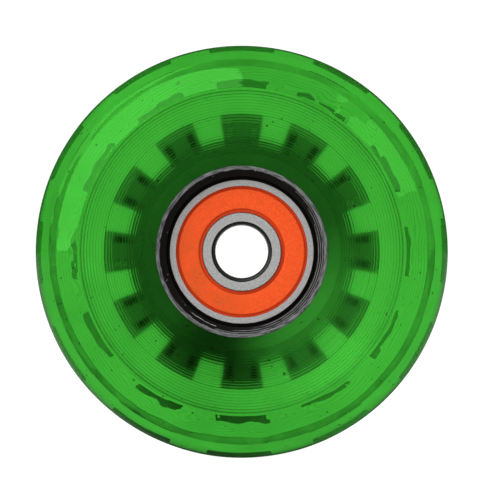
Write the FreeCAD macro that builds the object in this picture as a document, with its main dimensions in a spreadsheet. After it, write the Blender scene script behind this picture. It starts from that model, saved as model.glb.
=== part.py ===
"""A 60 mm skateboard cruiser wheel: urethane tyre, toothed core, spacer and two sealed ball bearings.

The axle runs along Y through the origin, which is the middle of the wheel, and +Z is up.
The front of the wheel faces -Y.  Every size is a cell of the "sizes" sheet, in millimetres.
"""
import FreeCAD, Part
import math
import os
import re

import Sketcher

DRIVING_SIZES = {
    # tyre
    "wheel_radius": 30.0,
    "wheel_width": 36.0,
    "crest_radius": 23.5,       # the sharp ridge between the dish and the lip
    "lip_angle": 28.0,          # how steeply the lip falls back from the crest, in degrees
    "edge_round": 5.0,
    # core
    "rim_radius": 12.5,         # where the urethane starts on the core's outer face
    "rim_offset": 13.6,         # from the middle of the wheel to the core's outer face
    "rim_wall": 0.6,
    "seat_lead_in": 0.95,       # chamfer at the mouth of each bearing seat
    "hub_radius": 17.2,
    "hub_half_width": 8.6,
    "shoulder_radius": 9.8,     # the step inside the core that each bearing stops against
    "tooth_count": 12,
    "tooth_tip_radius": 21.0,
    "tooth_root_radius": 16.4,
    "tooth_half_angle": 9.0,
    "tooth_length": 16.0,
    "pocket_inner_radius": 17.75,   # two moulded pockets in each end of a tooth
    "pocket_outer_radius": 19.5,
    "pocket_near_angle": 4.3,       # from the middle of the tooth
    "pocket_far_angle": 7.1,
    "pocket_depth": 3.0,
    # spacer
    "spacer_length": 10.0,
    "spacer_radius": 5.0,
    "spacer_chamfer": 0.3,
    # bearing, size 608
    "bore_radius": 4.0,
    "bearing_radius": 11.0,
    "bearing_width": 7.0,
    "corner_chamfer": 0.42,
    "outer_chamfer": 0.58,
    "ball_count": 7,
    "ball_radius": 1.984,
    "pitch_radius": 7.5,
    "race_radius": 2.04,
    "inner_land_radius": 5.65,  # the inner ring's outside, where the seal lip runs
    "inner_shoulder_radius": 6.05,
    "inner_land_width": 1.1,
    "outer_shoulder_radius": 9.05,
    "outer_mouth_radius": 9.6,
    "seal_groove_radius": 9.9,
    # seal, its places measured from the bearing's hidden face
    "seal_seat": 6.0,
    "seal_bead_top": 6.4,
    "seal_face": 6.75,
    "seal_lip_top": 6.45,
    "seal_lip_bottom": 6.15,
    "seal_lip_radius": 5.75,
    "seal_step_radius": 6.2,
    "seal_slope": 0.15,
    "seal_face_radius": 9.15,
    "seal_channel_floor": 6.5,
    "seal_channel_width": 0.2,
    "seal_rim_top": 6.65,
    "washer_hole_radius": 6.5,
    "washer_radius": 9.0,
    "washer_bottom": 5.95,
    "washer_top": 6.2,
    # cage
    "cage_inner_radius": 6.75,
    "cage_outer_radius": 8.25,
    "cage_back": 1.15,
    "cage_tip": 4.3,
    "ball_pocket_radius": 2.084,
    "cage_notch_radius": 0.7,
}

TURN_HALF = FreeCAD.Rotation(FreeCAD.Vector(0, 0, 1), 180)
SIDES = {"front": -1, "rear": 1}

document = FreeCAD.newDocument("skateboard_wheel")
sheet = document.addObject("Spreadsheet::Sheet", "sizes")
for row, (alias, size) in enumerate(DRIVING_SIZES.items(), start=1):
    sheet.set(f"A{row}", alias)
    sheet.set(f"B{row}", str(size))
    sheet.setAlias(f"B{row}", alias)
document.recompute()


# --- helpers -------------------------------------------------------------------------------


def bound(formula):
    """A formula in the sheet's names, as an expression that any object of the document can use."""
    return re.sub("[a-z_]+", lambda word: ("sizes." if word[0] in DRIVING_SIZES else "") + word[0], formula)


def new_body(label):
    body = document.addObject("PartDesign::Body", label)
    body.Label = label
    return body


def origin_feature(body, role):
    return next(f for f in body.Origin.OriginFeatures if f.Role == role)


def new_sketch(body, name, plane_role):
    sketch = body.newObject("Sketcher::SketchObject", name)
    sketch.AttachmentSupport = [(origin_feature(body, plane_role), "")]
    sketch.MapMode = "FlatFace"
    return sketch


def fix_point(sketch, geometry, point, formulas):
    """Hold one point of a sketch at two formulas, measured from the sketch's origin."""
    for kind, formula in zip(("DistanceX", "DistanceY"), formulas):
        index = sketch.addConstraint(Sketcher.Constraint(kind, -1, 1, geometry, point, 1.0))
        sketch.renameConstraint(index, f"{kind}_{geometry}_{point}")
        sketch.setExpression(f"Constraints.{kind}_{geometry}_{point}", bound(formula))


def draw_outline(sketch, corners):
    """A closed outline of straight lines through corners, each corner a pair of formulas."""
    count = len(corners)
    first = sketch.GeometryCount
    step = 2 * math.pi / count
    starts = [FreeCAD.Vector(5 + math.cos(i * step), 5 + math.sin(i * step)) for i in range(count)]
    for i in range(count):
        sketch.addGeometry(Part.LineSegment(starts[i], starts[(i + 1) % count]), False)
    for i in range(count):
        next_line = first + (i + 1) % count
        sketch.addConstraint(Sketcher.Constraint("Coincident", first + i, 2, next_line, 1))
    for i, corner in enumerate(corners):
        fix_point(sketch, first + i, 1, corner)


def mirrored(half_section, width="0"):
    """The other half of an outline, for a piece of that width, or centred on the origin if 0."""
    return [(radius, f"{width} - ({place_along})") for radius, place_along in reversed(half_section)]


def turn(body, name, corners, kind="PartDesign::Revolution"):
    """Turn an outline about the axle. Its corners are (radius, place along the axle)."""
    sketch = new_sketch(body, f"{name}_outline", "XY_Plane")
    draw_outline(sketch, corners)
    return turn_sketch(body, name, sketch, kind)


def turn_sketch(body, name, sketch, kind):
    feature = body.newObject(kind, name)
    feature.Profile = sketch
    feature.ReferenceAxis = (sketch, ["V_Axis"])
    feature.Angle = 360
    return feature


def turn_raceway(body):
    """Cut the round groove that the balls run in."""
    sketch = new_sketch(body, "raceway_section", "XY_Plane")
    sketch.addGeometry(Part.Circle(FreeCAD.Vector(7, 3, 0), FreeCAD.Vector(0, 0, 1), 2), False)
    fix_point(sketch, 0, 3, ("pitch_radius", "bearing_width / 2"))
    radius = sketch.addConstraint(Sketcher.Constraint("Radius", 0, 2.0))
    sketch.renameConstraint(radius, "race")
    sketch.setExpression("Constraints.race", bound("race_radius"))
    return turn_sketch(body, "raceway", sketch, "PartDesign::Groove")


def circles_of_radius(shape, radius):
    """The names of a shape's round edges of one radius."""
    names = []
    for number, edge in enumerate(shape.Edges, start=1):
        if isinstance(edge.Curve, Part.Circle) and math.isclose(edge.Curve.Radius, radius):
            names.append(f"Edge{number}")
    return names


def repeat_round_axle(body, name, feature, count_name):
    pattern = body.newObject("PartDesign::PolarPattern", name)
    pattern.Originals = [feature]
    pattern.Axis = (origin_feature(body, "Y_Axis"), [""])
    pattern.Angle = 360
    pattern.setExpression("Occurrences", bound(count_name))
    body.Tip = pattern
    return pattern


def place(piece, along_axle, half_turned=False):
    """Put a piece at a place on the axle, turned end for end if asked."""
    turned = TURN_HALF if half_turned else FreeCAD.Rotation()
    piece.Placement = FreeCAD.Placement(FreeCAD.Vector(), turned)
    piece.setExpression(".Placement.Base.y", bound(along_axle))


# --- wheel ---------------------------------------------------------------------------------


def make_core():
    """Nylon hub: two bearing seats, a shoulder between them, and teeth that grip the urethane."""
    body = new_body("core")
    seat_end = "spacer_length / 2"
    half_section = [
        ("shoulder_radius", seat_end),
        ("bearing_radius", seat_end),
        ("bearing_radius", "rim_offset - seat_lead_in"),
        ("bearing_radius + seat_lead_in", "rim_offset"),
        ("rim_radius", "rim_offset"),
        ("rim_radius", "rim_offset - rim_wall"),
        ("hub_radius", "hub_half_width"),
    ]
    turn(body, "hub", half_section + mirrored(half_section))

    tooth_sketch = new_sketch(body, "tooth_outline", "XZ_Plane")
    blank_radius = "(tooth_tip_radius + rim_wall)"
    draw_outline(tooth_sketch, radial_sided(
        "tooth_root_radius", blank_radius, "-1 * tooth_half_angle", "tooth_half_angle"
    ))
    tooth = body.newObject("PartDesign::Pad", "tooth")
    tooth.Profile = tooth_sketch
    tooth.Midplane = True
    tooth.setExpression("Length", bound("tooth_length"))
    repeat_round_axle(body, "teeth", tooth, "tooth_count")
    document.recompute()

    body.Tip = turn(body, "tooth_tips", [
        ("tooth_tip_radius", "-1 * tooth_length"),
        ("wheel_radius", "-1 * tooth_length"),
        ("wheel_radius", "tooth_length"),
        ("tooth_tip_radius", "tooth_length"),
    ], "PartDesign::Groove")
    for end_name, side in SIDES.items():
        cut_tooth_pockets(body, end_name, side)
    return body


def cut_tooth_pockets(body, end_name, side):
    """Hollow that end of every tooth with two pockets, which leave a rib and thin walls."""
    sketch = new_sketch(body, f"{end_name}_pocket_outline", "XZ_Plane")
    sketch.setExpression("AttachmentOffset.Base.z", bound(f"{-side} * tooth_length / 2"))
    for way in ("", "-1 * "):
        draw_outline(sketch, radial_sided(
            "pocket_inner_radius", "pocket_outer_radius",
            f"{way}pocket_near_angle", f"{way}pocket_far_angle",
        ))
    pockets = body.newObject("PartDesign::Pocket", f"{end_name}_pockets")
    pockets.Profile = sketch
    pockets.Reversed = side > 0
    pockets.setExpression("Length", bound("pocket_depth"))
    document.recompute()
    repeat_round_axle(body, f"all_{end_name}_pockets", pockets, "tooth_count")
    document.recompute()


def radial_sided(inner_radius, outer_radius, start_angle, end_angle):
    """Corners of an outline whose two long sides are straight lines out from the axle."""
    return [
        (f"{radius} * cos({angle} * 1deg)", f"{radius} * sin({angle} * 1deg)")
        for radius, angle in (
            (inner_radius, start_angle), (outer_radius, start_angle),
            (outer_radius, end_angle), (inner_radius, end_angle),
        )
    ]


def make_tyre(core):
    """Urethane cast round the core: a dish on each side, a sharp crest, and a sloping lip."""
    blank = new_body("tyre_blank")
    inside_core = ("bearing_radius + seat_lead_in", "hub_half_width")
    lip_drop = "(wheel_radius - crest_radius) * tan(lip_angle * 1deg)"
    half_section = [
        inside_core,
        ("rim_radius", "rim_offset"),
        ("crest_radius", "wheel_width / 2"),
        ("wheel_radius", f"wheel_width / 2 - {lip_drop}"),
    ]
    section = turn(blank, "tyre_section", half_section + mirrored(half_section))
    document.recompute()

    edges = blank.newObject("PartDesign::Fillet", "tread_edges")
    edges.Base = (section, circles_of_radius(section.Shape, DRIVING_SIZES["wheel_radius"]))
    edges.setExpression("Radius", bound("edge_round"))
    blank.Tip = edges

    tyre = document.addObject("Part::Cut", "tyre")
    tyre.Label = "tyre"
    tyre.Base = blank
    tyre.Tool = core
    return tyre


def make_spacer():
    """Aluminium tube that keeps the two inner rings apart when the axle nut is tightened."""
    body = new_body("spacer")
    end = "spacer_length / 2"
    turn(body, "tube", [
        ("bore_radius", f"-1 * {end}"),
        ("spacer_radius - spacer_chamfer", f"-1 * {end}"),
        ("spacer_radius", f"spacer_chamfer - {end}"),
        ("spacer_radius", f"{end} - spacer_chamfer"),
        ("spacer_radius - spacer_chamfer", end),
        ("bore_radius", end),
    ])
    return body


# --- bearing -------------------------------------------------------------------------------
# Each piece is drawn with the bearing's hidden face at 0 and its outside face at bearing_width.


def make_inner_ring(label):
    body = new_body(label)
    far_land = "bearing_width - inner_land_width"
    far_chamfer = "bearing_width - corner_chamfer"
    turn(body, "ring", [
        ("bore_radius + corner_chamfer", "0"),
        ("inner_land_radius", "0"),
        ("inner_land_radius", "inner_land_width"),
        ("inner_shoulder_radius", "inner_land_width"),
        ("inner_shoulder_radius", far_land),
        ("inner_land_radius", far_land),
        ("inner_land_radius", "bearing_width"),
        ("bore_radius + corner_chamfer", "bearing_width"),
        ("bore_radius", far_chamfer),
        ("bore_radius", "corner_chamfer"),
    ])
    document.recompute()
    body.Tip = turn_raceway(body)
    return body


def make_outer_ring(label):
    body = new_body(label)
    half_section = [
        ("outer_shoulder_radius", "seal_seat"),
        ("seal_groove_radius", "seal_seat"),
        ("seal_groove_radius", "seal_bead_top"),
        ("outer_mouth_radius", "seal_bead_top"),
        ("outer_mouth_radius", "bearing_width"),
        ("bearing_radius - outer_chamfer", "bearing_width"),
        ("bearing_radius", "bearing_width - outer_chamfer"),
    ]
    turn(body, "ring", half_section + mirrored(half_section, "bearing_width"))
    document.recompute()
    body.Tip = turn_raceway(body)
    return body


def make_seal(label):
    """Rubber cover with a bead that snaps into the outer ring and a thin lip at the inner ring."""
    body = new_body(label)
    turn(body, "rubber", [
        ("seal_lip_radius", "seal_lip_bottom"),
        ("seal_lip_radius", "seal_lip_top"),
        ("seal_step_radius", "seal_lip_top"),
        ("seal_step_radius + seal_slope", "seal_face"),
        ("seal_face_radius", "seal_face"),
        ("seal_face_radius", "seal_channel_floor"),
        ("seal_face_radius + seal_channel_width", "seal_channel_floor"),
        ("seal_face_radius + seal_channel_width", "seal_rim_top"),
        ("outer_mouth_radius", "seal_rim_top"),
        ("outer_mouth_radius", "seal_bead_top"),
        ("seal_groove_radius", "seal_bead_top"),
        ("seal_groove_radius", "seal_seat"),
        ("washer_radius", "seal_seat"),
        ("washer_radius", "washer_top"),
        ("washer_hole_radius", "washer_top"),
        ("washer_hole_radius", "seal_lip_bottom"),
    ])
    return body


def make_seal_washer(label):
    """Thin steel ring bonded to the hidden side of the rubber, which stiffens it."""
    body = new_body(label)
    turn(body, "washer", [
        ("washer_hole_radius", "washer_bottom"),
        ("washer_radius", "washer_bottom"),
        ("washer_radius", "washer_top"),
        ("washer_hole_radius", "washer_top"),
    ])
    return body


def make_cage(label):
    """Nylon crown: a ring with a round pocket for each ball and a notch between pockets."""
    body = new_body(label)
    turn(body, "crown", [
        ("cage_inner_radius", "cage_back"),
        ("cage_outer_radius", "cage_back"),
        ("cage_outer_radius", "cage_tip"),
        ("cage_inner_radius", "cage_tip"),
    ])
    document.recompute()

    pocket = body.newObject("PartDesign::SubtractiveSphere", "pocket")
    pocket.Placement.Rotation = facing_outwards(0)
    pocket.setExpression("Radius", bound("ball_pocket_radius"))
    pocket.setExpression(".Placement.Base.x", bound("pitch_radius"))
    pocket.setExpression(".Placement.Base.y", bound("bearing_width / 2"))
    document.recompute()
    repeat_round_axle(body, "pockets", pocket, "ball_count")
    document.recompute()

    notch = body.newObject("PartDesign::SubtractiveCylinder", "notch")
    notch.Placement.Rotation = facing_outwards(math.pi / DRIVING_SIZES["ball_count"])
    notch.setExpression("Radius", bound("cage_notch_radius"))
    notch.setExpression("Height", bound("cage_outer_radius * 2"))
    notch.setExpression(".Placement.Base.y", bound("cage_tip"))
    document.recompute()
    repeat_round_axle(body, "notches", notch, "ball_count")
    return body


def facing_outwards(angle):
    """Turn a primitive so that its own Z points away from the axle and its seam faces along the axle."""
    outwards = FreeCAD.Vector(math.cos(angle), 0, -math.sin(angle))
    along_axle = FreeCAD.Vector(0, 1, 0)
    return FreeCAD.Rotation(along_axle, outwards.cross(along_axle), outwards)


def make_ball(label, side, number):
    ball = document.addObject("Part::Sphere", label)
    ball.Label = label
    ball.setExpression("Radius", bound("ball_radius"))
    turned = f"{number} * 360deg / ball_count"
    ball.setExpression(".Placement.Base.x", bound(f"{side} * pitch_radius * cos({turned})"))
    ball.setExpression(".Placement.Base.y", bound(f"{side} * (spacer_length + bearing_width) / 2"))
    ball.setExpression(".Placement.Base.z", bound(f"-1 * pitch_radius * sin({turned})"))
    return ball


def make_bearing(side_name):
    """One bearing's pieces, its hidden face against the spacer and its outside face outwards."""
    side = SIDES[side_name]
    hidden_face = f"{side} * spacer_length / 2"
    outside_face = f"{side} * (spacer_length / 2 + bearing_width)"
    faces_front = side < 0

    pieces = [
        make_outer_ring(f"{side_name}_outer_ring"),
        make_inner_ring(f"{side_name}_inner_ring"),
        make_cage(f"{side_name}_cage"),
        make_seal(f"{side_name}_outer_seal"),
        make_seal_washer(f"{side_name}_outer_seal_washer"),
    ]
    for piece in pieces:
        place(piece, hidden_face, half_turned=faces_front)

    hidden_pieces = [
        make_seal(f"{side_name}_inner_seal"),
        make_seal_washer(f"{side_name}_inner_seal_washer"),
    ]
    for piece in hidden_pieces:
        place(piece, outside_face, half_turned=not faces_front)

    balls = [
        make_ball(f"{side_name}_ball_{number + 1}", side, number)
        for number in range(DRIVING_SIZES["ball_count"])
    ]
    return pieces + hidden_pieces + balls


# --- the whole wheel -----------------------------------------------------------------------

core = make_core()
pieces = [make_tyre(core), core, make_spacer()]
for side_name in SIDES:
    pieces += make_bearing(side_name)
document.recompute()

for thing in document.Objects:
    if "Invalid" in thing.State or "Error" in thing.State:
        raise RuntimeError(f"{thing.Label} could not be worked out: {thing.State}")

os.makedirs("parts", exist_ok=True)
for piece in pieces:
    shape = piece.Shape
    if shape.isNull() or not shape.isValid() or len(shape.Solids) != 1:
        raise RuntimeError(f"{piece.Label} is not one valid solid")
    shape.exportStep(f"parts/{piece.Label}.step")
    print(f"{piece.Label}: {shape.Volume:.1f} mm3")
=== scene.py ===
"""Looks of a translucent green skateboard wheel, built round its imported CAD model.

Everything is in metres in the CAD frame: the axle lies along Y, the front faces -Y and +Z is up.
"""

import math
import random

import bpy
import numpy as np
from mathutils import Matrix, Vector, noise


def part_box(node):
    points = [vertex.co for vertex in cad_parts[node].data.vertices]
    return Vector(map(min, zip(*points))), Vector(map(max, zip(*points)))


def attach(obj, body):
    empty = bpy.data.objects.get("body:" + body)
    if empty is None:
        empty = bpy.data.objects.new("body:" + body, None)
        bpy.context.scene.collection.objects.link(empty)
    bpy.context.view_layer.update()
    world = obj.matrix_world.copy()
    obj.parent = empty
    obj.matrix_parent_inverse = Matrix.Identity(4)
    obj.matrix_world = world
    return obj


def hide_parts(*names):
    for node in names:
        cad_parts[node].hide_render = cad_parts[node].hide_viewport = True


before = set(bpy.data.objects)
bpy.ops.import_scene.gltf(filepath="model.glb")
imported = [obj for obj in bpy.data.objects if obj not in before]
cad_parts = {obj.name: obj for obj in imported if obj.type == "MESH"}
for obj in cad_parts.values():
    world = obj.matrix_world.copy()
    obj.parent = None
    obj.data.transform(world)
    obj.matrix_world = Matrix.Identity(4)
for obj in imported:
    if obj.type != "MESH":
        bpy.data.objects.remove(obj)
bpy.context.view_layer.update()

MM = 0.001
SIDES = {"front": -1, "rear": 1}

# Places read from the CAD model.
HALF_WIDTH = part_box("tyre")[1].y
RIM_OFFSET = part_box("core")[1].y
SEAT_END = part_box("rear_outer_ring")[0].y
BEARING_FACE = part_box("rear_outer_ring")[1].y
FLOOR_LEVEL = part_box("tyre")[0].z

# Tyre.
WHEEL_RADIUS = 30.0 * MM
CREST_RADIUS = 23.5 * MM
RIM_RADIUS = 12.5 * MM
LIP_ANGLE = math.radians(28)
EDGE_ROUND = 5.0 * MM
GROOVE_BANDS = [  # turned grooves on the dish: from radius, to radius, pitch, depth
    (12.7 * MM, 14.2 * MM, 0.47 * MM, 0.006 * MM),
    (14.2 * MM, 19.9 * MM, 0.355 * MM, 0.046 * MM),
    (19.9 * MM, 23.2 * MM, 0.42 * MM, 0.014 * MM),
]
GROOVE_SHAPE = [(0.0, 0.0), (0.5, 0.15), (0.78, 1.0)]  # share of the pitch, share of the depth
REAR_GROOVE_SHARE = 0.4  # shallower, so that they don't show as lines through the front lip
BAND_START = 26.75 * MM  # the lip is a little flatter here, and ends in a fine ridge
BAND_END = 27.8 * MM
RIDGE_END = 28.1 * MM
RIDGE_HEIGHT = 0.23 * MM

# Core.
HUB_RADIUS = 17.2 * MM
HUB_HALF_WIDTH = 8.6 * MM
RIM_WALL = 0.6 * MM
SEAT_RADIUS = 11.0 * MM
SEAT_LEAD_IN = 0.95 * MM
SHOULDER_RADIUS = 9.8 * MM
TOOTH_COUNT = 12
TOOTH_TIP_RADIUS = 21.0 * MM
TOOTH_HALF_ANGLE = math.radians(9)
TOOTH_HALF_LENGTH = 8.0 * MM
POCKET_INNER_RADIUS = 17.75 * MM  # two moulded pockets in each end of a tooth
POCKET_OUTER_RADIUS = 19.5 * MM
POCKET_NEAR_ANGLE = math.radians(4.3)
POCKET_FAR_ANGLE = math.radians(7.1)
POCKET_DEPTH = 3.0 * MM
CORE_GRIP = 0.04 * MM  # how far the tyre's inside reaches into the core, so that no air shows between

# Directions round the axle in degrees, where 0 is right and 90 is up as seen from the front.
BUBBLE_ANGLES = (24.3, 84.3, 95.7, 185.7)  # these pockets shine because air is left in them
# Painted shade darkens the lip and the cast-in core towards the first of these sides, and painted light
# brightens the lip, the core's cone and one side's pockets towards the next three.
SHADED_SIDE = 256
PAINTED_LIGHT_LIP_SIDE = 326
LIT_SIDE = 322
PAINTED_LIGHT_POCKET_SIDE = 322
RIDGED_SIDE = 329  # the turned ridges reach furthest into the seat's mouth here
SCRATCHED_SIDE = 240
STAINED_SIDE = 212

# Brightness of the surround, where 1 is plain white.
SKY_SEEN = 1.1
FLOOR_SEEN = 0.98
FLOOR_SHARE = 0.86  # how bright the floor is beside the sky, for light that the camera doesn't see
MIRRORED_SHARE = 0.05
SCATTERED_LEVEL = 0.88
FLOOR_SIZE = 6.0


# --- meshes turned about the axle ----------------------------------------------------------


def mesh_object(name, vertices, faces):
    mesh = bpy.data.meshes.new(name)
    mesh.from_pydata(vertices, [], faces)
    mesh.shade_smooth()
    piece = bpy.data.objects.new(name, mesh)
    bpy.context.scene.collection.objects.link(piece)
    return piece


def signed_area(section):
    """Area inside an outline, positive if it runs anticlockwise in (radius, along)."""
    radius, along = section[:, 0], section[:, 1]
    return 0.5 * np.sum(radius * np.roll(along, -1) - np.roll(radius, -1) * along)


def ring_piece(name, angles, sections, sharp_rows=()):
    """A closed ring: sections[i] is the closed outline, as (radius, along) rows, at angles[i]."""
    sections = np.asarray(sections, float)
    columns, rows = sections.shape[:2]
    angles = np.asarray(angles)[:, None]
    radius, along = sections[..., 0], sections[..., 1]
    points = np.stack([radius * np.cos(angles), along, radius * np.sin(angles)], axis=-1)
    index = np.arange(columns * rows).reshape(columns, rows)
    right = np.roll(index, -1, axis=0)
    above = np.roll(index, -1, axis=1)
    both = np.roll(right, -1, axis=1)
    faces = np.stack([index, above, both, right], axis=-1).reshape(-1, 4)
    if signed_area(sections[0]) < 0:
        faces = faces[:, ::-1]
    piece = mesh_object(name, points.reshape(-1, 3).tolist(), faces.tolist())
    keep_sharp(piece.data, rows, sharp_rows)
    return piece


def keep_sharp(mesh, rows, sharp_rows):
    """Keep the shading crisp across the edges that run round the ring along some of its rows."""
    ends = np.empty(len(mesh.edges) * 2, dtype=np.int32)
    mesh.edges.foreach_get("vertices", ends)
    row = ends.reshape(-1, 2) % rows
    is_sharp = (row[:, 0] == row[:, 1]) & np.isin(row[:, 0], list(sharp_rows))
    mesh.attributes.new("sharp_edge", "BOOLEAN", "EDGE").data.foreach_set("value", is_sharp)


def turned_piece(name, outline, columns=288):
    angles = np.linspace(0, 2 * math.pi, columns, endpoint=False)
    return ring_piece(name, angles, [outline] * columns)


def rounded(outline, radius, steps=3):
    """The outline with each corner rounded to the radius, or to what its two sides leave room for."""
    result = []
    for i, corner in enumerate(outline):
        corner = Vector(corner)
        before = Vector(outline[i - 1]) - corner
        after = Vector(outline[(i + 1) % len(outline)]) - corner
        reach = min(radius, before.length * 0.45, after.length * 0.45)
        start = corner + before.normalized() * reach
        end = corner + after.normalized() * reach
        for step in range(steps + 1):
            share = step / steps
            point = start * (1 - share) ** 2 + corner * 2 * share * (1 - share) + end * share ** 2
            result.append(tuple(point))
    return result


def both_halves(half_outline):
    """An outline that is the same on both sides of the middle, from the front round to the rear."""
    return [(radius, -along) for radius, along in half_outline] + half_outline[::-1]


# --- core ----------------------------------------------------------------------------------


def tooth_columns(inset=0.0):
    """Angles round the wheel, each with how far a tooth and its pocket are there, from 0 to 1.

    An inset narrows each tooth and widens its pockets, for a surface just inside the core's.
    """
    spare = inset / HUB_RADIUS
    edge = TOOTH_HALF_ANGLE - spare
    near, far = POCKET_NEAR_ANGLE - spare, POCKET_FAR_ANGLE + spare
    step = math.radians(0.1)
    half_pitch = math.pi / TOOTH_COUNT
    half = [
        (near / 3, 1, 0), (near * 2 / 3, 1, 0), (near - step, 1, 0), (near, 1, 1), ((near + far) / 2, 1, 1),
        (far, 1, 1), (far + step, 1, 0), (edge - 6 * step, 1, 0), (edge - 2 * step, 0.98, 0),
        (edge, 0.9, 0), (edge + step / 2, 0, 0),
    ]
    half += [(angle, 0, 0) for angle in np.linspace(edge, half_pitch, 5)[1:]]
    columns = []
    for tooth in range(TOOTH_COUNT):
        middle = tooth * 2 * half_pitch
        columns.append((middle, 1, 0))
        columns += [(middle + angle, height, pocket) for angle, height, pocket in half]
        next_middle = middle + 2 * half_pitch
        columns += [(next_middle - angle, height, pocket) for angle, height, pocket in half[-2::-1]]
    return columns


def core_outside(height, pocket, inset=0.0):
    """Half of the core's outside, from the hub's shoulder out over the end of a tooth, if one is there."""

    def at(radius, along):
        return (HUB_RADIUS + (radius - HUB_RADIUS) * height - inset, along - inset)

    floor = TOOTH_HALF_LENGTH - POCKET_DEPTH * pocket
    wall = 0.05 * MM
    return [
        (HUB_RADIUS - inset, HUB_HALF_WIDTH - inset),
        at(HUB_RADIUS, TOOTH_HALF_LENGTH),
        at(POCKET_INNER_RADIUS, TOOTH_HALF_LENGTH),
        at(POCKET_INNER_RADIUS + wall, floor),
        at(POCKET_OUTER_RADIUS - wall + 2 * inset, floor),
        at(POCKET_OUTER_RADIUS + 2 * inset, TOOTH_HALF_LENGTH),
        at(TOOTH_TIP_RADIUS, TOOTH_HALF_LENGTH),
        at(TOOTH_TIP_RADIUS, TOOTH_HALF_LENGTH * 0.4),
    ]


def core_section(height, pocket):
    half = [
        (SHOULDER_RADIUS, SEAT_END),
        (SEAT_RADIUS, SEAT_END),
        (SEAT_RADIUS, RIM_OFFSET - SEAT_LEAD_IN),
        (SEAT_RADIUS + SEAT_LEAD_IN, RIM_OFFSET),
        (RIM_RADIUS, RIM_OFFSET),
        (RIM_RADIUS, RIM_OFFSET - RIM_WALL),
    ]
    return rounded(both_halves(half + core_outside(height, pocket)), 0.12 * MM)


def make_core():
    columns = tooth_columns()
    sections = [core_section(height, pocket) for _, height, pocket in columns]
    piece = ring_piece("core_toothed", [column[0] for column in columns], sections)
    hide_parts("core")
    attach(piece, "wheel")
    return piece


# --- tyre ----------------------------------------------------------------------------------


def dish_height(radius):
    share = (radius - RIM_RADIUS) / (CREST_RADIUS - RIM_RADIUS)
    return RIM_OFFSET + share * (HALF_WIDTH - RIM_OFFSET)


def grooved_dish(chance, depth_share):
    """Points from the rim to just inside the crest: radius, height, depth of cut, is it a sharp edge."""
    points = [(RIM_RADIUS, dish_height(RIM_RADIUS), 0.0, True)]
    for first, last, pitch, depth in GROOVE_BANDS:
        count = round((last - first) / pitch)
        width = (last - first) / count
        for groove in range(count):
            cut = depth * depth_share * chance.uniform(0.7, 1.25)
            for place, cut_share in GROOVE_SHAPE:
                radius = first + (groove + place) * width
                points.append((radius, dish_height(radius), cut * cut_share, True))
    last_ridge = GROOVE_BANDS[-1][1]
    points.append((last_ridge, dish_height(last_ridge), 0.0, True))
    before_crest = (last_ridge + CREST_RADIUS) / 2
    points.append((before_crest, dish_height(before_crest), 0.0, False))
    return points


def lip_height(radius):
    """Height of the lip, and of the round edge that follows it, before the flatter band is added."""
    straight_end = WHEEL_RADIUS - EDGE_ROUND * (1 - math.sin(LIP_ANGLE))
    straight = HALF_WIDTH - (min(radius, straight_end) - CREST_RADIUS) * math.tan(LIP_ANGLE)
    if radius <= straight_end:
        return straight
    out = min(1.0, (radius - WHEEL_RADIUS + EDGE_ROUND) / EDGE_ROUND)
    return straight - EDGE_ROUND * (math.cos(LIP_ANGLE) - math.sqrt(1 - out ** 2))


def lip_and_edge():
    """Points from the crest out over the lip and round the edge to where the flat tread starts."""
    radii = list(np.linspace(CREST_RADIUS, BAND_START, 14))
    radii += list(np.linspace(BAND_START, BAND_END, 5)[1:])
    first_turn = math.asin((RIDGE_END - WHEEL_RADIUS + EDGE_ROUND) / EDGE_ROUND)
    for turn in np.linspace(first_turn, math.pi / 2, 11):
        radii.append(WHEEL_RADIUS - EDGE_ROUND + EDGE_ROUND * math.sin(turn))
    points = []
    for radius in radii:
        rise = RIDGE_HEIGHT * float(np.interp(radius, [BAND_START, BAND_END, RIDGE_END], [0, 1, 0.5]))
        is_edge = radius == BAND_END
        points.append((radius, lip_height(radius) + rise, 0.0, is_edge))
    return points


def lip_ripple(radius, angle, seed):
    """Slight unevenness that the mould and hand finish leave in the lip, most ragged by the crest."""
    around = Vector((math.cos(angle), math.sin(angle), 0)) * radius / MM
    out = (radius - CREST_RADIUS) / MM
    broad = noise.noise(around * 0.13 + Vector((0, 0, seed)))
    fine = noise.noise(around * 0.42 + Vector((0, 0, seed + 7.3)))
    patch = max(0.0, 0.4 + 1.6 * noise.noise(around * 0.07 + Vector((0, 0, seed + 3.1))))
    ragged = noise.noise(around * 1.1 + Vector((0, 0, seed + 5.7))) * math.exp(-(out / 0.9) ** 2)
    return (0.28 * broad + 0.11 * fine * patch + 0.10 * ragged) * MM * min(1.0, out / 0.3)


def face_outline(points, angle, seed):
    """One side of the tyre at one angle: (radius, height) from the rim to the edge of the tread."""
    around = Vector((math.cos(angle), math.sin(angle), 0))
    outline = []
    for radius, height, cut, _ in points:
        if radius < CREST_RADIUS:
            share = 1 + 0.3 * noise.noise(around * 2.2 + Vector((0, 0, radius * 900 + seed)))
            outline.append((radius, height - cut * share))
        else:
            outline.append((radius, height + lip_ripple(radius, angle, seed)))
    return outline


def tread(edge_height, chance):
    """The running surface, from its front edge to its rear edge, lightly turned."""
    count = 14
    return [
        (WHEEL_RADIUS - chance.uniform(0, 0.003) * MM, edge_height * (2 * i / count - 1))
        for i in range(1, count)
    ]


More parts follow.
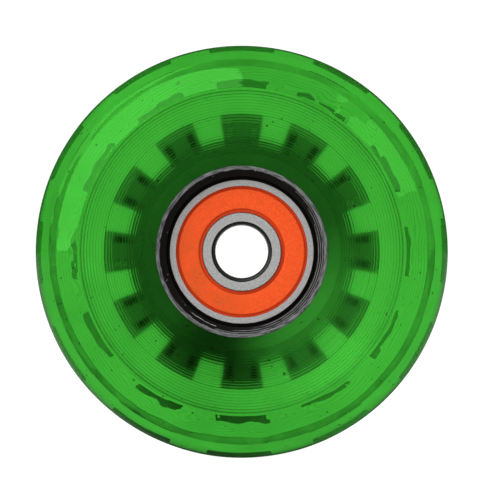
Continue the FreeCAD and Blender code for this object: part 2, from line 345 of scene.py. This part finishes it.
def make_tyre():
    chance = random.Random(60)
    front_points = grooved_dish(chance, 1.0) + lip_and_edge()
    rear_points = grooved_dish(chance, REAR_GROOVE_SHARE) + lip_and_edge()
    running = tread(front_points[-1][1], chance)
    angles, sections = [], []
    for angle, height, pocket in tooth_columns(CORE_GRIP):
        front = [(radius, -along) for radius, along in face_outline(front_points, angle, 3.0)]
        rear = face_outline(rear_points, angle, 11.0)[::-1]
        rear_grip = [(RIM_RADIUS - CORE_GRIP, RIM_OFFSET - RIM_WALL)]
        rear_grip += core_outside(height, pocket, CORE_GRIP)
        front_grip = [(radius, -along) for radius, along in reversed(rear_grip)]
        sections.append(front + running + rear + rear_grip + front_grip)
        angles.append(angle)
    ridges = [i for i, point in enumerate(front_points) if point[3]]
    rear_start = len(front_points) + len(running)
    ridges += [rear_start + i for i, point in enumerate(reversed(rear_points)) if point[3]]
    piece = ring_piece("tyre_urethane", angles, sections, ridges)
    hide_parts("tyre")
    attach(piece, "wheel")
    return piece


# --- seals ---------------------------------------------------------------------------------


def seal_outline():
    """The rubber's outline, along measured from the bearing's hidden face."""
    corners = [
        (5.75, 6.15), (5.75, 6.40), (5.92, 6.46), (6.18, 6.44), (6.3, 6.71), (6.42, 6.75),
        (9.05, 6.75), (9.14, 6.66), (9.2, 6.42), (9.3, 6.4), (9.35, 6.47), (9.52, 6.47),
        (9.6, 6.4), (9.9, 6.4), (9.9, 6.0), (9.0, 6.0), (9.0, 6.2), (6.5, 6.2), (6.5, 6.15),
    ]
    return rounded([(radius * MM, along * MM) for radius, along in corners], 0.06 * MM)


def make_seal(side_name, place):
    """An outer seal faces away from the wheel's middle, and an inner seal faces the spacer."""
    side = SIDES[side_name]
    if place == "outer":
        start, way = side * SEAT_END, side
    else:
        start, way = side * BEARING_FACE, -side
    outline = [(radius, start + way * along) for radius, along in seal_outline()]
    piece = turned_piece(f"{side_name}_{place}_seal_rubber", outline)
    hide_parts(f"{side_name}_{place}_seal")
    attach(piece, "wheel")
    return piece


# --- materials -----------------------------------------------------------------------------


def new_material(name):
    material = bpy.data.materials.new(name)
    material.use_nodes = True
    return material, material.node_tree, material.node_tree.nodes["Principled BSDF"]


def fill(socket, value):
    """Link a socket to another node's socket, or give it a plain value."""
    if isinstance(value, bpy.types.NodeSocket):
        socket.id_data.links.new(value, socket)
    else:
        socket.default_value = value


def add_node(tree, kind, inputs=(), **settings):
    node = tree.nodes.new(kind)
    for name, value in settings.items():
        setattr(node, name, value)
    for name, value in dict(inputs).items():
        fill(node.inputs[name], value)
    return node


def grey(level):
    return (level, level, level, 1)


def calculate(tree, operation, first, second=0.0, third=0.0):
    node = add_node(tree, "ShaderNodeMath", {0: first, 1: second, 2: third}, operation=operation)
    return node.outputs[0]


def scaled(tree, source, low, high, low_to=0.0, high_to=1.0):
    """A value between low and high, moved to lie between two others."""
    node = add_node(tree, "ShaderNodeMapRange", {
        "Value": source, "From Min": low, "From Max": high, "To Min": low_to, "To Max": high_to,
    })
    return node.outputs["Result"]


def mixed(tree, share, first, second):
    node = add_node(tree, "ShaderNodeMix", {"Factor": share}, data_type="RGBA")
    colours = [socket for socket in node.inputs if socket.type == "RGBA"]
    fill(colours[0], first)
    fill(colours[1], second)
    return next(socket for socket in node.outputs if socket.type == "RGBA")


def either(tree, share, first, second):
    """A number that goes from the first to the second as the share goes from 0 to 1."""
    node = add_node(tree, "ShaderNodeMix", {0: share, 2: first, 3: second}, data_type="FLOAT")
    return node.outputs[0]


def noise_node(tree, scale, detail=3.0, vector=None):
    inputs = {"Scale": scale, "Detail": detail}
    inputs["Vector"] = vector or add_node(tree, "ShaderNodeTexCoord").outputs["Object"]
    return add_node(tree, "ShaderNodeTexNoise", inputs).outputs["Fac"]


def round_axle(tree):
    """Distance from the axle, and the direction away from it, at each point of a surface."""
    place = add_node(tree, "ShaderNodeTexCoord").outputs["Object"]
    flat = add_node(tree, "ShaderNodeVectorMath", {0: place, 1: (1, 0, 1)}, operation="MULTIPLY").outputs[0]
    radius = add_node(tree, "ShaderNodeVectorMath", {0: flat}, operation="LENGTH").outputs["Value"]
    outwards = add_node(tree, "ShaderNodeVectorMath", {0: flat}, operation="NORMALIZE").outputs[0]
    return radius, outwards


def towards(tree, outwards, angle):
    """How nearly a point lies in the direction at this angle round the axle, in degrees: 1 if it does."""
    way = (math.cos(math.radians(angle)), 0, math.sin(math.radians(angle)))
    node = add_node(tree, "ShaderNodeVectorMath", {0: outwards, 1: way}, operation="DOT_PRODUCT")
    return node.outputs["Value"]


def is_within(tree, outwards, angle, reach):
    """1 where a point lies no more than reach degrees from this angle round the axle, and 0 elsewhere."""
    limit = math.cos(math.radians(reach))
    return calculate(tree, "GREATER_THAN", towards(tree, outwards, angle), limit)


def turned_marks(tree, around, across):
    """Noise drawn out along circles round the axle, as a lathe leaves it."""
    radius, outwards = round_axle(tree)
    turn = add_node(tree, "ShaderNodeVectorMath", {0: outwards, "Scale": around}, operation="SCALE")
    height = add_node(tree, "ShaderNodeCombineXYZ", {"Y": calculate(tree, "MULTIPLY", radius, across)})
    ends = {0: turn.outputs[0], 1: height.outputs[0]}
    vector = add_node(tree, "ShaderNodeVectorMath", ends, operation="ADD").outputs[0]
    return noise_node(tree, 1.0, 2.0, vector)


def bumped(tree, shader, height, distance, strength=1.0):
    bump = add_node(tree, "ShaderNodeBump", {"Height": height, "Distance": distance, "Strength": strength})
    fill(shader.inputs["Normal"], bump.outputs["Normal"])


def groove_bottom_share(tree, radius):
    """How far each point lies towards the bottom of a turned groove, 0 on the ridges and 1 at the bottom."""
    total = 0.0
    for first, last, pitch, _ in GROOVE_BANDS[1:]:
        width = (last - first) / round((last - first) / pitch)
        phase = calculate(tree, "FRACT", calculate(tree, "MULTIPLY_ADD", radius, 1 / width, -first / width))
        beyond = calculate(tree, "GREATER_THAN", radius, first)
        before = calculate(tree, "LESS_THAN", radius, last)
        inside = calculate(tree, "MULTIPLY", beyond, before)
        total = calculate(tree, "MULTIPLY_ADD", scaled(tree, phase, 0.5, 0.75), inside, total)
    return total


def lip_colour(tree, outwards):
    """Patchy green, with painted shade darkening one side and painted light brightening another."""
    patches = scaled(tree, noise_node(tree, 95.0, 4.0), 0.38, 0.62)
    green = mixed(tree, patches, (0.031, 0.285, 0.022, 1), (0.042, 0.38, 0.031, 1))
    # Painted shade on one side, then painted light on another.
    lip_painted_shade = scaled(tree, towards(tree, outwards, SHADED_SIDE), 0.5, 1.0, 0.0, 0.14)
    green = mixed(tree, lip_painted_shade, green, (0.017, 0.16, 0.013, 1))
    lip_painted_light = scaled(tree, towards(tree, outwards, PAINTED_LIGHT_LIP_SIDE), 0.6, 1.0, 0.0, 0.16)
    return mixed(tree, lip_painted_light, green, (0.060, 0.52, 0.045, 1))


def dish_colour(tree, radius):
    """Cloudy green, darkened towards the bottoms of the turned grooves as painted shade."""
    cloud = scaled(tree, noise_node(tree, 120.0), 0.35, 0.7)
    green = mixed(tree, cloud, (0.060, 0.54, 0.045, 1), (0.070, 0.60, 0.052, 1))
    # Painted shade at the bottoms of the turned grooves.
    painted_groove_shade = calculate(tree, "MULTIPLY", groove_bottom_share(tree, radius), 0.45)
    return mixed(tree, painted_groove_shade, green, (0.016, 0.17, 0.012, 1))


def tread_wear(tree, radius):
    """How rubbed each point of the flat tread is, and 0 everywhere else."""
    on_tread = scaled(tree, radius, 29.9 * MM, 29.98 * MM)
    patchy = scaled(tree, noise_node(tree, 150.0, 5.0), 0.35, 0.65, 0.5, 1.1)
    return calculate(tree, "MULTIPLY", on_tread, patchy)


def urethane_material():
    """Clear green urethane: glossy on the lip, a little dull on the turned dish and the worn tread."""
    material, tree, shader = new_material("urethane_green")
    radius, outwards = round_axle(tree)
    inside_crest = calculate(tree, "LESS_THAN", radius, CREST_RADIUS)
    worn = tread_wear(tree, radius)

    green = mixed(tree, inside_crest, lip_colour(tree, outwards), dish_colour(tree, radius))
    dirt = calculate(tree, "MULTIPLY", worn, scaled(tree, noise_node(tree, 420.0, 5.0), 0.45, 0.7, 0.0, 0.5))
    green = mixed(tree, dirt, green, (0.06, 0.14, 0.045, 1))
    speck = scaled(tree, noise_node(tree, 1900.0, 0.0), 0.835, 0.845)
    fill(shader.inputs["Base Color"], mixed(tree, speck, green, (0.004, 0.02, 0.003, 1)))

    lip_finish = scaled(tree, noise_node(tree, 900.0), 0.3, 0.8, 0.015, 0.05)
    dish_finish = scaled(tree, radius, 13.8 * MM, 14.6 * MM, 0.30, 0.26)
    finish = either(tree, inside_crest, lip_finish, dish_finish)
    fill(shader.inputs["Roughness"], calculate(tree, "MULTIPLY_ADD", worn, 0.45, finish))
    fill(shader.inputs["Transmission Weight"], calculate(tree, "MULTIPLY_ADD", worn, -0.35, 1.0))
    shader.inputs["IOR"].default_value = 1.49
    shader.inputs["Specular Tint"].default_value = (0.12, 1.0, 0.09, 1)
    volume = add_node(tree, "ShaderNodeVolumeAbsorption", {"Color": (0.6, 0.9, 0.6, 1), "Density": 8.0})
    tree.links.new(volume.outputs[0], tree.nodes["Material Output"].inputs["Volume"])
    return material


def core_seen_colour(tree, radius, outwards, marks):
    """The seat's mouth and the rim: moulded black, grey turned ridges, nicks and one scratch."""
    wander = scaled(tree, noise_node(tree, 1300.0), 0.3, 0.7, -0.07 * MM, 0.07 * MM)
    wavy = calculate(tree, "ADD", radius, wander)
    moulded = mixed(tree, noise_node(tree, 700.0), grey(0.003), grey(0.007))
    reach = scaled(tree, towards(tree, outwards, RIDGED_SIDE), 0.1, 0.86, 0.0, 0.95 * MM)
    ridged = calculate(tree, "GREATER_THAN", calculate(tree, "ADD", wavy, reach), 11.9 * MM)
    wave = calculate(tree, "SINE", calculate(tree, "MULTIPLY_ADD", radius, 22000.0, marks))
    ridges = scaled(tree, calculate(tree, "MULTIPLY", wave, marks), 0.2, 0.42)
    ridges = mixed(tree, ridges, grey(0.004), (0.13, 0.13, 0.132, 1))
    rim = calculate(tree, "GREATER_THAN", wavy, 11.93 * MM)
    rim_grey = mixed(tree, scaled(tree, marks, 0.35, 0.65), (0.045, 0.045, 0.047, 1), (0.15, 0.15, 0.155, 1))
    nicks = scaled(tree, noise_node(tree, 2600.0, 1.0), 0.745, 0.765)
    scratch = calculate(tree, "COMPARE", wavy, 11.43 * MM, 0.035 * MM)
    scratched_part = scaled(tree, towards(tree, outwards, SCRATCHED_SIDE), 0.98, 0.985)
    scratch = calculate(tree, "MULTIPLY", scratch, scratched_part)
    scratch = calculate(tree, "MULTIPLY", scratch, scaled(tree, marks, 0.42, 0.5))
    colour = mixed(tree, rim, mixed(tree, ridged, moulded, ridges), rim_grey)
    return mixed(tree, calculate(tree, "MAXIMUM", nicks, scratch), colour, grey(0.30))


def core_cast_in_colour(tree, outwards, along, tooth_side):
    """The surface under the urethane: pale grey as painted sheen, almost white on the tooth sides as painted
    reflection, and one side painted dark and one light in place of uneven light.
    """
    # Pale grey all over, a painted sheen.
    colour = mixed(tree, noise_node(tree, 250.0), grey(0.17), grey(0.23))
    past_teeth = TOOTH_HALF_LENGTH + 0.1 * MM
    tooth_end = calculate(tree, "LESS_THAN", along, past_teeth)
    colour = mixed(tree, tooth_end, colour, grey(0.32))
    # The tooth sides are painted almost white, a painted reflection.
    colour = mixed(tree, tooth_side, colour, grey(0.95))
    shade = scaled(tree, towards(tree, outwards, SHADED_SIDE), 0.84, 1.0, 0.0, 0.8)
    colour = mixed(tree, shade, colour, grey(0.01))
    cone = calculate(tree, "GREATER_THAN", along, past_teeth)
    lit = scaled(tree, towards(tree, outwards, LIT_SIDE), 0.55, 1.0, 0.0, 0.8)
    return mixed(tree, calculate(tree, "MULTIPLY", cone, lit), colour, grey(0.62))


def core_pockets(tree, radius, x, z, tooth_side):
    """1 in the two moulded pockets of each tooth's end, and 0 elsewhere."""
    off_tooth = calculate(tree, "PINGPONG", calculate(tree, "ARCTAN2", z, x), math.pi / TOOTH_COUNT)
    by_pocket = calculate(tree, "LESS_THAN", off_tooth, POCKET_FAR_ANGLE + math.radians(0.5))
    inside_tip = calculate(tree, "LESS_THAN", radius, POCKET_OUTER_RADIUS + 0.3 * MM)
    return calculate(tree, "MULTIPLY", tooth_side, calculate(tree, "MULTIPLY", by_pocket, inside_tip))


def core_material():
    """Black nylon: moulded where the bearing sits, turned grey on the rim, painted pale grey as painted
    sheen where it is cast in.

    Most pockets are black, those on one side are painted grey as painted light, and a few shine with air
    left in them.
    """
    material, tree, shader = new_material("core_black_nylon")
    radius, outwards = round_axle(tree)
    place = add_node(tree, "ShaderNodeTexCoord").outputs["Object"]
    x, y, z = add_node(tree, "ShaderNodeSeparateXYZ", {0: place}).outputs
    along = calculate(tree, "ABSOLUTE", y)
    tooth_side = calculate(tree, "LESS_THAN", along, TOOTH_HALF_LENGTH - 0.15 * MM)
    marks = turned_marks(tree, 9.0, 4000.0)

    pocket = core_pockets(tree, radius, x, z, tooth_side)
    bubbles = 0.0
    for angle in BUBBLE_ANGLES:
        bubbles = calculate(tree, "ADD", is_within(tree, outwards, angle, 2.5), bubbles)
    # Pockets on one side are painted grey as painted light.
    pocket_tone = mixed(tree, is_within(tree, outwards, PAINTED_LIGHT_POCKET_SIDE, 44), grey(0.001), grey(0.30))
    pocket_tone = mixed(tree, bubbles, pocket_tone, grey(0.9))
    cast_in = mixed(tree, pocket, core_cast_in_colour(tree, outwards, along, tooth_side), pocket_tone)

    buried = calculate(tree, "GREATER_THAN", radius, RIM_RADIUS + 0.1 * MM)
    seen = core_seen_colour(tree, radius, outwards, marks)
    fill(shader.inputs["Base Color"], mixed(tree, buried, seen, cast_in))
    shining = calculate(tree, "MULTIPLY", calculate(tree, "MULTIPLY", bubbles, pocket), buried)
    fill(shader.inputs["Metallic"], shining)
    shader.inputs["Specular IOR Level"].default_value = 0.1
    fill(shader.inputs["Roughness"], scaled(tree, marks, 0.3, 0.8, 0.35, 0.6))
    bumped(tree, shader, marks, 0.00003)
    return material


def steel_material(name, dark, light, rough, across=7000.0, metallic=1.0):
    material, tree, shader = new_material(name)
    marks = turned_marks(tree, 6.0, across)
    speckle = noise_node(tree, 4500.0, 2.0)
    tone = scaled(tree, calculate(tree, "MULTIPLY_ADD", marks, 0.4, speckle), 0.5, 0.9)
    fill(shader.inputs["Base Color"], mixed(tree, tone, dark, light))
    shader.inputs["Metallic"].default_value = metallic
    fill(shader.inputs["Roughness"], scaled(tree, speckle, 0.3, 0.7, rough - 0.06, rough + 0.08))
    bumped(tree, shader, marks, 0.000006)
    return material


def ring_material():
    """Ground steel, darker in the bore and on the outer corners, with one lighter line in the bore."""
    dark, light = (0.42, 0.415, 0.41, 1), (0.64, 0.635, 0.63, 1)
    material = steel_material("ring_ground_steel", dark, light, 0.42, metallic=0.6)
    tree = material.node_tree
    shader = tree.nodes["Principled BSDF"]
    radius, _ = round_axle(tree)
    bore = calculate(tree, "LESS_THAN", radius, 4.42 * MM)
    corner = calculate(tree, "GREATER_THAN", radius, 10.46 * MM)
    bore_line = calculate(tree, "COMPARE", radius, 4.14 * MM, 0.04 * MM)
    darker_tone = mixed(tree, bore_line, (0.02, 0.019, 0.018, 1), (0.075, 0.073, 0.071, 1))
    ground = shader.inputs["Base Color"].links[0].from_socket
    fill(shader.inputs["Base Color"], mixed(tree, calculate(tree, "ADD", bore, corner), ground, darker_tone))
    return material


def seal_material():
    """Orange rubber with specks, a dull stain on one side, and grime with painted shade in the low places.
    """
    material, tree, shader = new_material("seal_orange_rubber")
    radius, outwards = round_axle(tree)
    blotch = noise_node(tree, 260.0, 4.0)
    fleck = noise_node(tree, 3600.0, 3.0)
    clean = mixed(tree, scaled(tree, fleck, 0.3, 0.7), (0.60, 0.055, 0.0044, 1), (0.75, 0.076, 0.0074, 1))
    stained = scaled(tree, towards(tree, outwards, STAINED_SIDE), 0.2, 0.85)
    stained = calculate(tree, "MULTIPLY", stained, scaled(tree, blotch, 0.4, 0.6))
    stained = calculate(tree, "MULTIPLY", stained, scaled(tree, fleck, 0.45, 0.6, 0.0, 0.7))
    soiled = mixed(tree, stained, clean, (0.31, 0.07, 0.005, 1))
    # The low places are darker: grime with painted shade.
    inner = calculate(tree, "LESS_THAN", radius, 6.24 * MM)
    outer = calculate(tree, "GREATER_THAN", radius, 9.16 * MM)
    low = calculate(tree, "ADD", inner, outer)
    fill(shader.inputs["Base Color"], mixed(tree, low, soiled, (0.52, 0.037, 0.0006, 1)))
    fill(shader.inputs["Roughness"], scaled(tree, blotch, 0.3, 0.7, 0.42, 0.58))
    shader.inputs["Specular IOR Level"].default_value = 0.2
    bumped(tree, shader, fleck, 0.00002)
    return material


def plastic_material(name, dark, light, rough):
    material, tree, shader = new_material(name)
    grain = noise_node(tree, 1500.0, 4.0)
    fill(shader.inputs["Base Color"], mixed(tree, scaled(tree, grain, 0.35, 0.65), dark, light))
    fill(shader.inputs["Roughness"], scaled(tree, grain, 0.3, 0.7, rough - 0.05, rough + 0.08))
    bumped(tree, shader, grain, 0.00001)
    return material


def dress(piece, material):
    piece.data.materials.clear()
    piece.data.materials.append(material)


# --- floor, light and camera ---------------------------------------------------------------


def surround(tree, direction, seen, share=1.0):
    """How bright the surround is in a direction, multiplied by share.

    It is plain to the camera and lights every dull surface evenly, but is dim at the sides where the
    wheel bends it, and dim all round where the wheel mirrors it.
    """
    ends = {0: direction, 1: (0, 1, 0)}
    along_axle = add_node(tree, "ShaderNodeVectorMath", ends, operation="DOT_PRODUCT")
    facing = calculate(tree, "ABSOLUTE", along_axle.outputs["Value"])
    uneven = scaled(tree, noise_node(tree, 13.0, 2.0, direction), 0.3, 0.7, 0.78 * share, 1.20 * share)
    bent = calculate(tree, "MULTIPLY", scaled(tree, facing, 0.80, 0.966, 0.45, 1.05), uneven)
    paths = add_node(tree, "ShaderNodeLightPath").outputs
    mirrored = calculate(tree, "MULTIPLY", bent, MIRRORED_SHARE)
    scattered = calculate(tree, "GREATER_THAN", paths["Diffuse Depth"], 0.5)
    hidden = either(tree, paths["Is Reflection Ray"], bent, mirrored)
    hidden = either(tree, scattered, hidden, SCATTERED_LEVEL * share)
    return either(tree, paths["Is Camera Ray"], hidden, seen)


def make_floor():
    half = FLOOR_SIZE / 2
    corners = [(-half, -half), (half, -half), (half, half), (-half, half)]
    floor = mesh_object("floor", [(x, y, FLOOR_LEVEL) for x, y in corners], [(0, 1, 2, 3)])
    material, tree, shader = new_material("floor_white")
    fill(shader.inputs["Base Color"], mixed(tree, noise_node(tree, 3.0), grey(0.2), grey(0.22)))
    shader.inputs["Roughness"].default_value = 0.9
    shader.inputs["Specular IOR Level"].default_value = 0.0
    shader.inputs["Emission Color"].default_value = (1, 1, 1, 1)
    place = add_node(tree, "ShaderNodeTexCoord").outputs["Object"]
    direction = add_node(tree, "ShaderNodeVectorMath", {0: place}, operation="NORMALIZE").outputs[0]
    fill(shader.inputs["Emission Strength"], surround(tree, direction, FLOOR_SEEN, FLOOR_SHARE))
    dress(floor, material)


def make_sky():
    world = bpy.data.worlds.new("white_surround")
    world.use_nodes = True
    tree = world.node_tree
    direction = add_node(tree, "ShaderNodeTexCoord").outputs["Generated"]
    background = tree.nodes["Background"]
    background.inputs["Color"].default_value = (1, 1, 1, 1)
    fill(background.inputs["Strength"], surround(tree, direction, SKY_SEEN))
    bpy.context.scene.world = world


def soft_box(name, azimuth, off_axis, length, depth, radiance, distance=0.8):
    """A lamp facing the wheel: azimuth is round the axle, off_axis from its front end, in degrees."""
    azimuth, off_axis = math.radians(azimuth), math.radians(off_axis)
    out = Vector((math.cos(azimuth), 0, math.sin(azimuth)))
    away = out * math.sin(off_axis) - Vector((0, 1, 0)) * math.cos(off_axis)
    along = Vector((-math.sin(azimuth), 0, math.cos(azimuth)))
    lamp = bpy.data.lights.new(name, "AREA")
    lamp.shape = "ELLIPSE"
    lamp.size = length
    lamp.size_y = depth
    lamp.energy = radiance * math.pi * (math.pi * length * depth / 4)
    stand = bpy.data.objects.new(name, lamp)
    stand.location = away * distance
    stand.rotation_mode = "QUATERNION"
    stand.rotation_quaternion = Matrix((along, away.cross(along), away)).transposed().to_quaternion()
    stand.visible_camera = False
    stand.visible_transmission = False
    bpy.context.scene.collection.objects.link(stand)


def make_camera():
    """Straight in front of the wheel, and far enough off for a flat view."""
    tread_front = 11.6 * MM
    distance = 0.5
    view_width = 72.8 * MM
    camera = bpy.data.cameras.new("camera")
    camera.sensor_width = 36.0
    camera.lens = camera.sensor_width * distance / view_width
    camera.shift_x = 0.0165
    camera.shift_y = 0.0035
    stand = bpy.data.objects.new("camera", camera)
    stand.location = (0, -tread_front - distance, 0)
    stand.rotation_euler = (math.pi / 2, 0, 0)
    bpy.context.scene.collection.objects.link(stand)
    bpy.context.scene.camera = stand


# --- the scene -----------------------------------------------------------------------------

make_camera()
make_sky()
make_floor()
soft_box("key_light", azimuth=136, off_axis=60, length=1.38, depth=0.60, radiance=4.1)
soft_box("right_light", azimuth=34, off_axis=59, length=0.40, depth=0.24, radiance=2.3)

dress(make_tyre(), urethane_material())
dress(make_core(), core_material())

seal_rubber = seal_material()
ring_steel = ring_material()
ball_steel = steel_material("ball_polished_steel", (0.66, 0.66, 0.68, 1), (0.74, 0.74, 0.76, 1), 0.10)
washer_steel = steel_material("washer_stamped_steel", (0.38, 0.38, 0.4, 1), (0.5, 0.5, 0.52, 1), 0.32)
spacer_metal = steel_material("spacer_turned_aluminium", (0.68, 0.69, 0.7, 1), (0.8, 0.8, 0.82, 1), 0.28)
cage_nylon = plastic_material("cage_natural_nylon", (0.72, 0.69, 0.6, 1), (0.82, 0.8, 0.72, 1), 0.42)

dress(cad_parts["spacer"], spacer_metal)
for side_name in SIDES:
    for place in ("outer", "inner"):
        dress(make_seal(side_name, place), seal_rubber)
        dress(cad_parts[f"{side_name}_{place}_seal_washer"], washer_steel)
        dress(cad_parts[f"{side_name}_{place}_ring"], ring_steel)
    dress(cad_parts[f"{side_name}_cage"], cage_nylon)
for name, node_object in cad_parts.items():
    if "_ball_" in name:
        dress(node_object, ball_steel)

scene = bpy.context.scene
scene.view_settings.view_transform = "Standard"
scene.cycles.use_denoising = True
scene.cycles.max_bounces = 24
scene.cycles.transmission_bounces = 24
scene.cycles.glossy_bounces = 16
